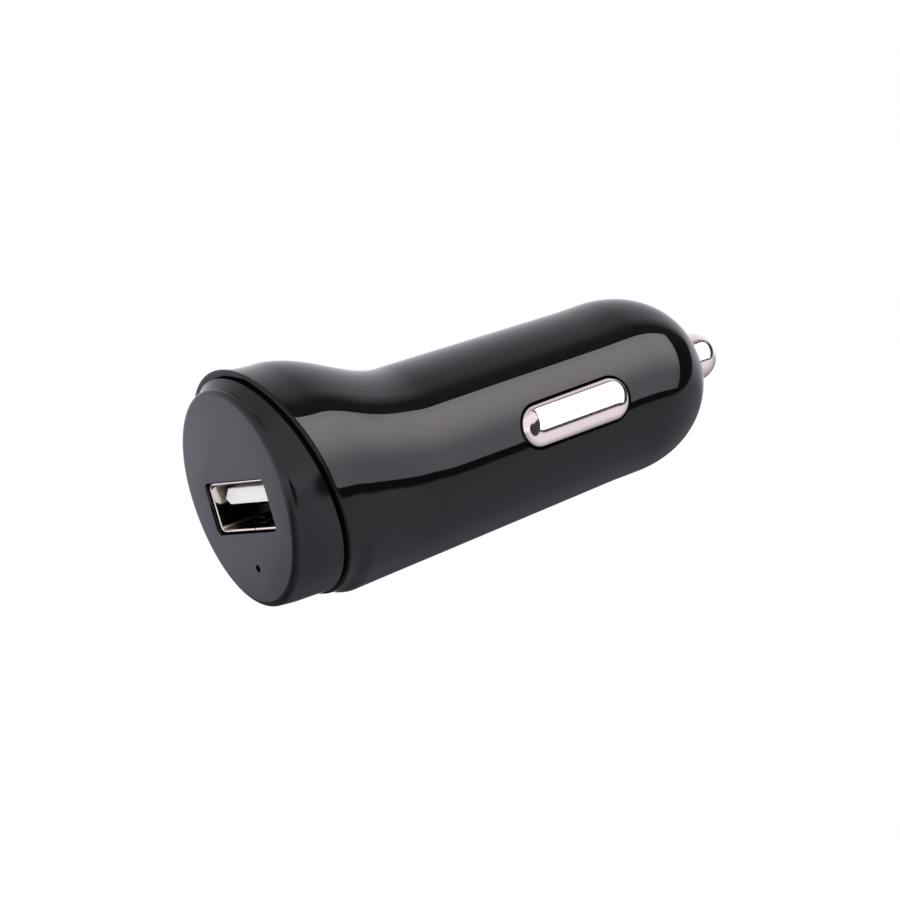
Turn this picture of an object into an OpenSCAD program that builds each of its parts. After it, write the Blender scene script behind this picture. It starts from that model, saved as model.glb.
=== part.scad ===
// Car USB charger plug for a lighter socket.
// Lengths are in millimetres and angles in degrees. Places are distances behind the flat face,
// along +Y, and everything is then moved so that the origin is the middle of the straight land
// behind the nose. +X is the right-hand side contact seen from the face, and +Z is the saddle.

/* [Barrel] */
// Radius of the straight land behind the nose, the size that the socket meets
land_r = 10.3; // [10.1:0.05:10.5]
// Length of the straight land
land_len = 3.6; // [3:0.1:4]
// Distance from the flat face to the end of the land, where the nose begins
nose_from = 50.5; // [50.3:0.1:53]
// Draft of the barrel towards the head
barrel_draft = 1.65; // [0.4:0.05:2]
// Length of the nose, up to the pole of its curve
nose_len = 11.85; // [11:0.05:13]
// Fullness of the nose, where 2 is an ellipse
nose_power = 2.1; // [1.9:0.05:2.4]
// Wall of the body
wall = 1.5; // [1.2:0.1:1.7]

/* [Head] */
// Distance behind the face of the joint between cap and body, on the axis
joint_from = 4.85; // [4.6:0.05:6]
// Tilt of that joint, with its top edge forwards
joint_tilt = 9.8; // [0:0.2:11]
// Height of the saddle above the barrel
saddle_h = 4.42; // [2:0.01:5.5]
// Where the saddle starts to fall
saddle_from = 6.7; // [5:0.1:9]
// Extra rise of the saddle's lip at the face
lip_h = 1.15; // [0:0.05:2]
// Extra half width of the cheeks
cheek_h = 1.78; // [1:0.02:2.5]
// Where the cheeks are widest
cheek_at = 5; // [4:0.1:7]
// Distance ahead of that place in which the cheeks would fall to nothing
cheek_lead = 9.1; // [8:0.1:14]
// Where the cheeks have run out
cheek_to = 18.7; // [15:0.1:21]
// How much the chin below the joint is pinched up
chin_h = 0.7; // [0:0.05:0.8]
// Where the chin is pinched most
chin_at = 7.1; // [6.5:0.1:8]
// Distance ahead of that place over which the pinch grows
chin_lead = 6.5; // [5:0.1:7]
// Where the pinch has run out into the barrel
chin_to = 9.7; // [9:0.1:12]
// Share of the saddle's height by which the widest point is raised
widest_share = 0.62; // [0.4:0.01:0.7]
// Where the head has become the round barrel
round_from = 22; // [21:0.1:26]
// Radius of the softened edge at the rim of the body
rim_round = 0.3; // [0.1:0.05:0.4]

/* [Face cap] */
// Step from the body down to the cap, all round
cap_step = 0.7; // [0.5:0.05:0.75]
// How much narrower the cap is at its front edge
cap_draft = 1.12; // [0.6:0.01:1.5]
// Softened edge between the side of the cap and its flat face
cap_edge = 0.85; // [0.4:0.05:1]
// Width of the groove between cap and body
groove_w = 0.35; // [0.2:0.05:0.5]
// Depth of the groove, in from the side of the cap
groove_deep = 0.3; // [0.2:0.05:0.3]
// How much lower the cap sits than the outline of the body
cap_sink = 0.33; // [0:0.01:0.35]
// Length of the skirt that goes into the body
skirt_len = 3; // [2:0.5:4]
// Thickness of the skirt
skirt_t = 1.2; // [1:0.1:1.4]
// Thickness of the cap behind its flat face
face_t = 1.6; // [1.2:0.1:2]
// Clearance between skirt and body
skirt_fit = 0.15; // [0.1:0.05:0.2]
// How far a snap hook of the skirt reaches into the wall of the body
hook_h = 0.4; // [0.2:0.1:0.5]
// Width of a snap hook
hook_w = 4; // [3:0.5:5]

/* [USB port] */
// Height of the middle of the port above the axis
port_z = 1.48; // [1:0.02:2.4]
// Width of the receptacle's opening
mouth_w = 12.5; // [12.4:0.05:12.6]
// Height of the receptacle's opening
mouth_h = 5.12; // [5.05:0.01:5.2]
// Sheet thickness of the receptacle's shell
shell_t = 0.3; // [0.25:0.05:0.4]
// Length of the receptacle's shell
shell_len = 13.9; // [13:0.1:15]
// How far the shell lies behind the face
shell_recess = 0.4; // [0:0.1:0.8]
// Gap between the shell and the window in the cap
window_fit = 0.15; // [0.1:0.05:0.25]
// Gap between the tongue and each side wall of the shell
tongue_side = 0.7; // [0.6:0.05:0.85]
// Thickness of the tongue
tongue_t = 1.84; // [1.7:0.02:1.9]
// Gap between the tongue and the top wall of the shell
tongue_gap = 0.66; // [0.6:0.02:0.75]
// How far the tongue lies behind the mouth of the shell
tongue_recess = 1.1; // [0.8:0.1:2]
// Length of the block that closes the back of the shell
block_len = 3.9; // [3:0.1:5]
// Width of a receptacle contact
blade_w = 1; // [0.8:0.1:1.2]
// Sheet thickness of a receptacle contact
blade_t = 0.3; // [0.2:0.05:0.35]
// How far a spring finger of the shell stands into the opening
finger_in = 0.45; // [0.3:0.05:0.5]
// Width of a spring finger
finger_w = 1.9; // [1.5:0.1:2.1]
// Width of the seam in the floor of the shell
seam_w = 0.2; // [0.1:0.05:0.3]

/* [Lamp] */
// Height of the lamp hole below the axis
lamp_drop = 5.55; // [5.4:0.05:5.8]
// Radius of the lamp hole in the face
lamp_hole_r = 0.45; // [0.3:0.05:0.7]
// Radius of the lamp's bulb
lamp_r = 1.5; // [1.4:0.05:1.5]
// Length of the lamp from its collar to its dome
lamp_len = 4.2; // [3.8:0.1:5]

/* [Side contacts] */
// Distance behind the face of the middle of the side contacts
shoe_at = 38.7; // [38:0.1:38.8]
// Length of a side contact where it passes the window
shoe_len = 15.4; // [14:0.1:15.6]
// Height of a side contact
shoe_h = 5.05; // [4.6:0.05:5.4]
// How far a side contact stands out of the barrel
shoe_proud = 0.8; // [0.7:0.05:1]
// Radius of the crown across the top of a side contact
shoe_bow = 6; // [5:0.5:9]
// Softened shoulder round that crown
shoe_round = 0.5; // [0.45:0.05:0.7]
// Sheet thickness of a side contact
shoe_t = 0.4; // [0.3:0.05:0.4]
// Width of the flange that holds a side contact in
flange_w = 0.88; // [0.7:0.02:1]
// Gap round a side contact in its window
shoe_fit = 0.3; // [0.2:0.05:0.4]
// How far a side contact can be pressed in
shoe_travel = 1.1; // [0.6:0.1:1.2]
// Sheet thickness of the leaf arm behind a side contact
arm_t = 0.3; // [0.2:0.05:0.4]
// Width of the leaf arm
arm_w = 3.6; // [3:0.1:4]

/* [Tip] */
// Radius of the tip pin
pin_r = 2.84; // [2.5:0.02:3]
// How far the tip pin stands out past the pole of the nose's curve
pin_reach = 4.08; // [3.6:0.02:5]
// Clearance of the tip pin in the nose
pin_fit = 0.1; // [0.05:0.01:0.1]
// Radius of the collar that keeps the tip pin in
collar_r = 4.5; // [4.2:0.1:4.6]
// Thickness of that collar
collar_t = 1; // [0.8:0.1:1.4]
// Length of the guide that the tip pin slides in
guide_len = 2.3; // [1.8:0.1:2.6]
// How far the tip pin can be pressed in
pin_travel = 2.8; // [2:0.1:3.2]
// Mean radius of the tip spring
coil_r = 2.25; // [2.15:0.05:2.4]
// Wire thickness of the tip spring
coil_wire = 0.5; // [0.4:0.05:0.6]
// Number of turns of the tip spring
coil_turns = 6; // [4:1:7]

/* [Circuit board] */
// Thickness of the board
board_t = 1.6; // [1.2:0.1:1.6]
// Distance behind the face of the front edge of the board
board_from = 5.4; // [5.2:0.1:6]
// Distance behind the face at which the board narrows
waist_from = 27.5; // [27:0.1:28.5]
// Gap between the narrow part of the board and a leaf arm that is pressed in
arm_gap = 0.3; // [0.2:0.05:0.6]
// Distance behind the face of the tail end of the board
board_to = 47.9; // [47.5:0.1:48.2]
// Gap between the wide part of the board and the bore of the body
board_fit = 0.15; // [0.1:0.05:0.3]
// Diameter of the input capacitor
cap_in_d = 6.3; // [5:0.1:6.5]
// Length of the input capacitor
cap_in_len = 8; // [7:0.5:8]
// Diameter of the output capacitor
cap_out_d = 5; // [4:0.1:5]
// Length of the output capacitor
cap_out_len = 5.5; // [5:0.5:5.5]
// Outer diameter of the inductor
choke_d = 7.4; // [6:0.1:7.4]
// Height of the inductor
choke_h = 4.6; // [3.6:0.1:5]

/* [Hidden] */

// Sides of the lofted rings, and rings along the head
ring_sides = 64;
head_rings = 18;
bore_rings = 6;
$fn = 64;
// Length by which a cut runs past a surface
over = 1;
// Gap that keeps touching pieces apart
seat_gap = 0.05;
// Step by which the lofted head stays inside the turned barrel where they join
join_step = 0.02;

// Places along the plug
land_from = nose_from - land_len;
land_mid = (land_from + nose_from) / 2;
nose_pole = nose_from + nose_len;

// Snap hooks
hook_at = joint_from + 0.6 * skirt_len;
hook_len = 1;
hook_fit = 0.1;

// Receptacle
shell_w = mouth_w + 2 * shell_t;
shell_h = mouth_h + 2 * shell_t;
shell_to = shell_recess + shell_len;
shell_round = 0.8;
window_w = shell_w + 2 * window_fit;
window_h = shell_h + 2 * window_fit;
tongue_z = port_z + mouth_h / 2 - tongue_gap - tongue_t / 2;
tongue_from = shell_recess + tongue_recess;
tongue_w = mouth_w - 2 * tongue_side;
// Pointed side edges of the tongue, above and below their tip
tongue_point = 1.2;
block_from = shell_to - block_len;
blade_z = tongue_z - tongue_t / 2 + blade_t / 2 - 0.1;
blade_from = tongue_from + 1;
blade_x = [3.5, 1, -1, -3.5];
pin_back = shell_to + 0.6;
leg_y = shell_to - 3.4;
leg_w = 2;
leg_x = (shell_w - shell_t) / 2;
finger_t = shell_t * 0.8;
finger_tip = shell_recess + 3.4;
finger_knee = finger_tip + 1.1;
finger_root = finger_knee + 4.2;
finger_gap = 0.35;
finger_x = mouth_w / 4;
seam_x = 1.2;

// Circuit board and what stands on it
board_top = port_z - shell_h / 2;
board_low = board_top - board_t;
tail_out = 0.6;
lead_r = 0.25;
hole_fit = 0.15;
wide_half = sqrt(pow(bore_r(waist_from) - board_fit, 2) - board_low * board_low);
cap_in_from = pin_back + 1.4;
choke_at = waist_from + 1.6 + choke_d / 2;
cap_out_from = choke_at + choke_d / 2 + 0.8;
lead_step = 0.8;
chip_at = [0, pin_back + 4.6];
chip_size = [3.9, 4.9, 1.5];
chip_pitch = 1.27;
diode_size = [2.6, 4.3, 2.1];
diode_at = [0, cap_in_from + cap_in_len + lead_step + 1 + diode_size.y / 2];
fuse_at = [0, diode_at.y + 12.75];
fuse_size = [1.6, 3.2, 0.6];
resistor_size = [0.8, 1.6, 0.45];
resistor_at = [[-5, pin_back - 0.4], [5, pin_back + 2.6], [-5, chip_at.y + 2.5], [4.6, chip_at.y + 5],
  [0, diode_at.y + 5.25]];
ceramic_size = [1.25, 2, 0.9];
ceramic_at = [[5, pin_back - 1.9], [-5, pin_back + 3.1], [5, chip_at.y + 1.8], [0, diode_at.y + 8.75]];
can_pitch = 2.5;
can_bead = 0.35;
can_round = 0.3;
choke_lip = 0.8;
wire_inset = 0.5;

// Lamp
lamp_flange = 0.4;
lamp_tip = face_t + 0.15;
lamp_back = lamp_tip + lamp_len;
lead_gap = 2.54;
lamp_lead_y = lamp_back + 2;

// Side contacts
shoe_r = shoe_h / 2;
shoulder_turn = asin((shoe_r - shoe_round) / (shoe_bow - shoe_round));
flange_r = shoe_r + flange_w;
shoe_span = shoe_len - shoe_h;
shoe_top = cone_r(shoe_at) + shoe_proud;
shoe_tail = shoe_at + shoe_span / 2 + flange_r;
flange_x = sqrt(pow(bore_r(shoe_tail) - 0.15, 2) - flange_r * flange_r);
arm_x = flange_x - shoe_t - seat_gap - arm_t / 2;
waist_half = arm_x - arm_t / 2 - shoe_travel - arm_gap;
tab_x = waist_half + arm_t / 2;
tab_from = waist_from + 0.5;
tab_len = 2.6;
arm_rise = 3;
arm_to = shoe_at + shoe_span / 2 + 0.8;

// Tip
pin_hole_r = pin_r + pin_fit;
nose_open = nose_pole - nose_len * (1 - pow(1 - pow(pin_hole_r / land_r, nose_power), 1 / nose_power));
stop_y = nose_open - guide_len;
collar_y = stop_y - 0.15;
chamber_r = collar_r + 0.6;
terminal_y = board_to + 0.8;
terminal_t = 0.4;
terminal_tab = [2.6, 1.8];
cup_h = 0.8;
cup_r = coil_r + coil_wire / 2 + 0.2;
spring_from = terminal_y + terminal_t;
spring_to = collar_y - collar_t;

// Radius of the barrel at a distance behind the face
function cone_r(y) = land_r + max(0, land_from - y) * tan(barrel_draft);

// Radius of the bore inside it
function bore_r(y) = cone_r(y) - wall;

// Smooth fall from 1 to 0 between two distances
function fall(y, from, to) =
  y <= from ? 1 : y >= to ? 0 : (1 + cos(180 * (y - from) / (to - from))) / 2;

// Height of the saddle above the barrel
function saddle(y) =
  saddle_h * fall(y, saddle_from, round_from) + lip_h * pow(max(0, 1 - y / saddle_from), 2);

// Extra half width of the cheeks
function cheek(y) =
  cheek_h * (y < cheek_at ? 1 - pow((cheek_at - y) / cheek_lead, 2) : fall(y, cheek_at, cheek_to));

// Pinch of the chin
function chin(y) =
  chin_h * (y < chin_at ? fall(chin_at - y, 0, chin_lead) : fall(y, chin_at, chin_to));

// Point of the head's section: two half ellipses that meet at the widest height
function outline(y, turn, inset) =
  let (r = cone_r(y) - inset, rise = saddle(y) * widest_share)
  let (reach = sin(turn) >= 0 ? r + saddle(y) - rise : r + rise - chin(y))
  [(r + cheek(y)) * cos(turn), rise + reach * sin(turn)];

// Ring of the head at a distance behind the face, leaning with the joint by a share of its tilt
function ring(at, lean, inset) =
  let (slope = lean * tan(joint_tilt))
  [for (i = [0 : ring_sides - 1])
    let (turn = 360 * i / ring_sides)
    let (first = at - slope * outline(at, turn, inset).y)
    let (p = outline(at - slope * outline(first, turn, inset).y, turn, inset))
    [p.x, at - slope * p.y, p.y]];

// Ring between the joint and the round barrel, where the lean runs out
function head_ring(share, inset) =
  ring(joint_from + (round_from - joint_from) * share, 1 - share, inset);

// Ring of the cap, which sits lower than the outline of the body
function cap_ring(at, lean, inset) = [for (p = ring(at, lean, inset)) [p.x, p.y, p.z - cap_sink]];

// Superellipse of the nose
function nose_point(share) =
  [land_r * pow(1 - pow(share, nose_power), 1 / nose_power), nose_from + nose_len * share];

// Direction that turns away from straight up
function bearing(turn) = [sin(turn), cos(turn)];

// Direction and outline of a strip of sheet metal bent along a path
function unit(v) = v / norm(v);
function left_of(v) = [-v.y, v.x];
function mitre(path, i) =
  let (last = len(path) - 1)
  let (before = unit(path[max(i, 1)] - path[max(i, 1) - 1]))
  let (after = unit(path[min(i + 1, last)] - path[min(i, last - 1)]))
  let (half = unit(left_of(before) + left_of(after)))
  half / (half * left_of(before));
function strip(path, t) = concat(
  [for (i = [0 : len(path) - 1]) path[i] + mitre(path, i) * t / 2],
  [for (i = [len(path) - 1 : -1 : 0]) path[i] - mitre(path, i) * t / 2]);

// Moves a piece from its distance behind the face to the shared origin
module placed() {
  translate([0, -land_mid, 0]) children();
}

// Turns a profile of radius and distance about the axis of the plug
module turned() {
  rotate([-90, 0, 0]) rotate_extrude() children();
}

// Pushes a front view outline along Y
module along_y(from, to) {
  translate([0, to, 0]) rotate([90, 0, 0]) linear_extrude(to - from) children();
}

module rounded(w, h, r) {
  square([w - 2 * r, h], center = true);
  square([w, h - 2 * r], center = true);
  for (x = [-1, 1], y = [-1, 1])
    translate([x * (w / 2 - r), y * (h / 2 - r)]) circle(r);
}

module block(size, at) {
  translate(at) cube(size, center = true);
}

// Skin over a list of rings; a closed one joins its last ring to its first
module skin(rings, closed) {
  n = len(rings[0]);
  count = len(rings);
  walls = [for (k = [0 : closed ? count - 1 : count - 2], i = [0 : n - 1])
    let (a = k * n, b = (k + 1) % count * n, j = (i + 1) % n)
    each [[a + i, a + j, b + j], [a + i, b + j, b + i]]];
  ends = closed ? [] : [[for (i = [n - 1 : -1 : 0]) i], [for (i = [0 : n - 1]) (count - 1) * n + i]];
  polyhedron([for (r = rings) each r], concat(walls, ends));
}

module obround(len, r) {
  square([len - 2 * r, 2 * r], center = true);
  for (s = [-1, 1]) translate([s * (len / 2 - r), 0]) circle(r);
}

module head_tube() {
  outer = concat(
    [ring(joint_from, 1, rim_round), ring(joint_from + 0.3 * rim_round, 1, 0.3 * rim_round),
      ring(joint_from + rim_round, 1, 0)],
    [for (k = [1 : head_rings]) head_ring(k / head_rings, k < head_rings ? 0 : join_step)]);
  inner = [for (k = [bore_rings : -1 : 0]) head_ring(k / bore_rings, wall - (k < bore_rings ? 0 : join_step))];
  skin(concat(outer, inner), true);
}

module barrel_tube() {
  share_open = (nose_open - nose_from) / nose_len;
  turned() polygon(concat(
    [[cone_r(round_from), round_from], [land_r, land_from]],
    [for (k = [0 : 12]) nose_point(share_open * sin(90 * k / 12))],
    [[pin_hole_r, stop_y], [chamber_r, stop_y], [land_r - wall, nose_from], [land_r - wall, land_from],
      [bore_r(round_from), round_from]]));
}

// Snap hooks at both sides of the skirt; grown a little, they cut their pockets in the body
module hooks(grow) {
  side = cone_r(hook_at) + cheek(hook_at) - wall;
  root = skirt_fit + skirt_t / 2;
  for (s = [-1, 1])
    block([hook_h + grow + root, hook_len + 2 * grow, hook_w + 2 * grow],
      [s * (side + (hook_h + grow - root) / 2), hook_at, saddle(hook_at) * widest_share]);
}

module body_shell() {
  color([0.05, 0.05, 0.06]) placed() difference() {
    union() {
      head_tube();
      barrel_tube();
    }
    hooks(hook_fit);
    for (s = [-1, 1])
      translate([s * (flange_x + shoe_top) / 2, shoe_at, 0]) rotate([0, 90, 0]) rotate([0, 0, 90])
        linear_extrude(shoe_top - flange_x + 2 * over, center = true)
          obround(shoe_len + 2 * shoe_fit, shoe_r + shoe_fit);
  }
}

module face_cap() {
  skirt_in = wall + skirt_fit;
  hollow_in = skirt_in + skirt_t;
  groove_in = cap_step + cap_sink + groove_deep;
  color([0.33, 0.32, 0.37]) placed() difference() {
    union() {
      skin([
        cap_ring(0, 0, cap_step + cap_draft + cap_edge),
        cap_ring(0.3 * cap_edge, 0, cap_step + cap_draft + 0.3 * cap_edge),
        cap_ring(cap_edge, 0, cap_step + cap_draft),
        cap_ring((joint_from + cap_edge) / 2, 0.5, cap_step + cap_draft / 2),
        cap_ring(joint_from - groove_w, 1, cap_step),
        ring(joint_from - groove_w, 1, groove_in),
        ring(joint_from, 1, groove_in),
        ring(joint_from, 1, skirt_in),
        ring(joint_from + skirt_len, 1, skirt_in),
        ring(joint_from + skirt_len, 1, hollow_in),
        ring(face_t, 0, hollow_in)
      ], false);
      along_y(face_t, board_from - 0.6)
        translate([0, port_z]) rounded(window_w + 2 * skirt_t, window_h + 2 * skirt_t, shell_round);
      along_y(face_t, lamp_tip + lamp_r)
        translate([0, -lamp_drop]) circle(lamp_r + 0.9);
      hooks(0);
    }
    along_y(-over, board_from) translate([0, port_z]) rounded(window_w, window_h, shell_round);
    along_y(-over, board_from) translate([0, -lamp_drop]) circle(lamp_hole_r);
    along_y(face_t, board_from) translate([0, -lamp_drop]) circle(lamp_r + 0.1);
  }
}

// Puts a finger or its slot in each wall of the shell: two above, two below, one at each side
module finger_places() {
  for (turn = [0, 180], x = [-1, 1])
    translate([0, 0, port_z]) rotate([0, turn, 0]) translate([x * finger_x, 0, shell_h / 2]) children();
  for (turn = [90, 270])
    translate([0, 0, port_z]) rotate([0, turn, 0]) translate([0, 0, shell_w / 2]) children();
}

// Spring finger below its wall, bent in to the knee and out again to the tip
module finger() {
  mid = -shell_t / 2;
  deep = -shell_t - finger_in + finger_t / 2;
  rotate([0, 90, 0]) rotate([0, 0, 90]) linear_extrude(finger_w, center = true) polygon(strip([
    [finger_tip, deep + finger_t], [finger_knee, deep], [finger_root, mid],
    [finger_root + 2 * finger_gap, mid]], finger_t));
}

module usb_shell() {
  color("silver") placed() {
    difference() {
      along_y(shell_recess, shell_to) translate([0, port_z]) rounded(shell_w, shell_h, shell_round);
      along_y(shell_recess - over, shell_to + over)
        translate([0, port_z]) rounded(mouth_w, mouth_h, shell_round - shell_t);
      finger_places()
        block([finger_w + 2 * finger_gap, finger_root - finger_tip + finger_gap, 3 * shell_t],
          [0, (finger_root + finger_tip - finger_gap) / 2, -shell_t / 2]);
      block([seam_w, 2 * (shell_to + over), 3 * shell_t], [seam_x, 0, port_z - shell_h / 2]);
    }
    finger_places() finger();
    for (s = [-1, 1])
      block([shell_t, leg_w, port_z - board_low + tail_out],
        [s * leg_x, leg_y, (port_z + board_low - tail_out) / 2]);
  }
}

module usb_insulator() {
  block_h = mouth_h - 2 * seat_gap;
  color("white") placed() difference() {
    union() {
      along_y(block_from, shell_to) translate([0, port_z]) rounded(mouth_w - 2 * seat_gap, block_h, 0.4);
      along_y(tongue_from, block_from + over) translate([0, tongue_z]) for (s = [-1, 1])
        polygon([[0, -tongue_t / 2], [s * (tongue_w / 2 - 0.7 * tongue_point), -tongue_t / 2],
          [s * tongue_w / 2, -tongue_t / 8], [s * (tongue_w / 2 - tongue_point), tongue_t / 2],
          [0, tongue_t / 2]]);
    }
    for (x = blade_x)
      block([blade_w + seat_gap, 2 * shell_len, blade_t + seat_gap], [x, blade_from + shell_len, blade_z]);
  }
}

module usb_contact(i) {
  low = board_low - tail_out;
  color("gold") placed() {
    block([blade_w, pin_back - blade_from, blade_t],
      [blade_x[i], (pin_back + blade_from) / 2, blade_z]);
    block([0.6, blade_t, blade_z + blade_t / 2 - low],
      [blade_x[i], pin_back - blade_t / 2, (blade_z + blade_t / 2 + low) / 2]);
  }
}

module board_outline() {
  front_half = shell_w / 2 + 1;
  wide_from = joint_from + skirt_len + 1.5;
  polygon([
    [-front_half, board_from], [front_half, board_from], [wide_half, wide_from],
    [wide_half, waist_from - 0.3], [waist_half, waist_from], [waist_half, board_to],
    [-waist_half, board_to], [-waist_half, waist_from], [-wide_half, waist_from - 0.3],
    [-wide_half, wide_from]]);
}

// Places of the leads of a capacitor that lies on the board
function lead_places(from, len) = [for (s = [-1, 1]) [s * can_pitch / 2, from + len + lead_step]];

module circuit_board() {
  color([0.1, 0.4, 0.2]) placed() translate([0, 0, board_low]) linear_extrude(board_t) difference() {
    board_outline();
    for (s = [-1, 1])
      translate([s * leg_x, leg_y]) square([shell_t + 2 * hole_fit, leg_w + 2 * hole_fit], center = true);
    for (x = blade_x) translate([x, pin_back - blade_t / 2]) circle(0.5);
    for (s = [-1, 1]) translate([s * lead_gap / 2, lamp_lead_y]) circle(0.5);
    for (p = concat(lead_places(cap_in_from, cap_in_len), lead_places(cap_out_from, cap_out_len)))
      translate(p) circle(lead_r + hole_fit);
  }
}

// Electrolytic capacitor lying on the board, its leads bent down into it
module can(from, d, len) {
  z = board_top + d / 2 + seat_gap;
  r = d / 2;
  placed() {
    translate([0, from, z]) turned() polygon([
      [0, 0], [r - can_round, 0], [r, can_round], [r, len - 4 * can_bead],
      [r - can_bead, len - 3.5 * can_bead], [r - can_bead, len - 3 * can_bead],
      [r, len - 2.5 * can_bead], [r, len - can_round], [r - can_round, len],
      [r - 2 * can_bead, len], [r - 2 * can_bead, len - can_round], [0, len - can_round]]);
    for (p = lead_places(from, len)) {
      translate([p.x, from + len - can_round - lead_r, z]) rotate([-90, 0, 0])
        cylinder(r = lead_r, h = lead_step + can_round + lead_r);
      translate([p.x, p.y, z]) sphere(lead_r);
      translate([p.x, p.y, board_low - tail_out]) cylinder(r = lead_r, h = z - board_low + tail_out);
    }
  }
}

module input_capacitor() {
  color([0.15, 0.2, 0.45]) can(cap_in_from, cap_in_d, cap_in_len);
}

module output_capacitor() {
  color([0.15, 0.2, 0.45]) can(cap_out_from, cap_out_d, cap_out_len);
}

module inductor_core() {
  r = choke_d / 2;
  color([0.2, 0.2, 0.21]) placed() translate([0, choke_at, board_top]) rotate_extrude() polygon([
    [0, 0], [r, 0], [r, choke_lip], [r / 2, choke_lip], [r / 2, choke_h - choke_lip],
    [r, choke_h - choke_lip], [r, choke_h], [0, choke_h]]);
}

module inductor_winding() {
  turns = 7;
  low = choke_lip + seat_gap;
  pitch = (choke_h - 2 * low) / turns;
  color([0.75, 0.4, 0.15]) placed() translate([0, choke_at, board_top + low]) rotate_extrude() polygon(concat(
    [[choke_d / 4 + seat_gap, 0]],
    [for (k = [0 : turns - 1], t = [0 : 4])
      [choke_d / 2 - wire_inset - pitch / 2 * (1 - sin(180 * t / 4)), pitch * (k + (t + 0.5) / 5)]],
    [[choke_d / 4 + seat_gap, choke_h - 2 * low]]));
}

module controller_chip() {
  low = board_low - 0.1 - chip_size.z;
  color([0.12, 0.12, 0.13]) placed() translate([chip_at.x, chip_at.y, 0]) {
    block(chip_size, [0, 0, low + chip_size.z / 2]);
    for (s = [-1, 1], k = [-1.5 : 1.5]) {
      block([0.6, 0.4, 0.2], [s * (chip_size.x / 2 + 0.25), k * chip_pitch, low + chip_size.z / 2]);
      block([0.2, 0.4, chip_size.z / 2 + 0.2],
        [s * (chip_size.x / 2 + 0.5), k * chip_pitch, board_low - chip_size.z / 4 - 0.1]);
      block([0.6, 0.4, 0.2], [s * (chip_size.x / 2 + 0.75), k * chip_pitch, board_low - 0.1]);
    }
  }
}

module rectifier_diode() {
  color([0.14, 0.14, 0.15]) placed() translate([diode_at.x, diode_at.y, board_low]) {
    block(diode_size, [0, 0, -diode_size.z / 2 - 0.1]);
    for (s = [-1, 1]) {
      block([1.5, 0.2, 1.2], [0, s * (diode_size.y / 2 + 0.1), -0.6]);
      block([1.5, 1, 0.2], [0, s * diode_size.y / 2, -0.1]);
    }
  }
}

module fuse() {
  color([0.85, 0.85, 0.8]) placed()
    block(fuse_size, [fuse_at.x, fuse_at.y, board_low - fuse_size.z / 2]);
}

module chip_resistors() {
  color([0.2, 0.2, 0.22]) placed()
    for (p = resistor_at) block(resistor_size, [p.x, p.y, board_low - resistor_size.z / 2]);
}

module chip_capacitors() {
  color([0.7, 0.55, 0.4]) placed()
    for (p = ceramic_at) block(ceramic_size, [p.x, p.y, board_low - ceramic_size.z / 2]);
}

module indicator_lamp() {
  color([0.9, 0.3, 0.25]) placed() translate([0, lamp_tip, -lamp_drop]) turned() polygon(concat(
    [for (k = [0 : 8]) [lamp_r * sin(90 * k / 8), lamp_r * (1 - cos(90 * k / 8))]],
    [[lamp_r, lamp_len - 0.8], [lamp_r + lamp_flange, lamp_len - 0.8],
      [lamp_r + lamp_flange, lamp_len], [0, lamp_len]]));
}

module lamp_leads() {
  side = 0.45;
  color("silver") placed() for (s = [-1, 1]) {
    block([side, lamp_lead_y - lamp_back + side / 2, side],
      [s * lead_gap / 2, (lamp_back + lamp_lead_y + side / 2) / 2, -lamp_drop]);
    block([side, side, board_top - 0.2 + lamp_drop],
      [s * lead_gap / 2, lamp_lead_y, (board_top - 0.2 - lamp_drop) / 2]);
  }
}

module tip_pin() {
  centre = nose_pole + pin_reach - pin_r;
  stem_r = coil_r - coil_wire / 2 - 0.3;
  stem_len = 3;
  color("silver") placed() turned() polygon(concat(
    [[0, spring_to - stem_len], [stem_r - 0.3, spring_to - stem_len], [stem_r, spring_to - stem_len + 0.3],
      [stem_r, spring_to], [collar_r, spring_to], [collar_r, collar_y], [pin_r, collar_y]],
    [for (k = [0 : 10]) [pin_r * cos(90 * k / 10), centre + pin_r * sin(90 * k / 10)]]));
}

module tip_spring() {
  steps = 16 * coil_turns;
  sides = 6;
  wire_r = coil_wire / 2;
  first = spring_from + wire_r;
  rise = spring_to - seat_gap - wire_r - first;
  rings = [for (k = [0 : steps])
    let (turn = 360 * coil_turns * k / steps)
    [for (i = [0 : sides - 1])
      let (r = coil_r + wire_r * cos(360 * i / sides))
      [r * cos(turn), first + rise * k / steps + wire_r * sin(360 * i / sides), r * sin(turn)]]];
  color("silver") placed() skin(rings, false);
}

module tip_terminal() {
  color("gold") placed() {
    turned() polygon([
      [0, terminal_y], [cup_r + terminal_t, terminal_y], [cup_r + terminal_t, spring_from + cup_h],
      [cup_r, spring_from + cup_h], [cup_r, spring_from], [0, spring_from]]);
    block([terminal_tab.x, spring_from - board_to + terminal_tab.y, terminal_t],
      [0, (spring_from + board_to - terminal_tab.y) / 2, board_top + terminal_t / 2]);
  }
}

// Crown and shoulder of a side contact, drawn in by a depth
function crown(deep) =
  let (foot = [shoe_r - shoe_round, shoe_top - shoe_bow + (shoe_bow - shoe_round) * cos(shoulder_turn)])
  concat(
    [for (k = [0 : 5])
      [0, shoe_top - shoe_bow] + (shoe_bow - deep) * bearing(shoulder_turn * k / 5)],
    [for (k = [1 : 4])
      foot + (shoe_round - deep) * bearing(shoulder_turn + (90 - shoulder_turn) * k / 4)]);

// Section of a drawn shoe: how far from its middle line, and how far from the axis of the plug
function shoe_section() =
  let (inner = crown(shoe_t))
  concat(
    crown(0),
    [[shoe_r, flange_x], [flange_r, flange_x], [flange_r, flange_x - shoe_t],
      [shoe_r - shoe_t, flange_x - shoe_t]],
    [for (i = [len(inner) - 1 : -1 : 0]) inner[i]]);

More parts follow.
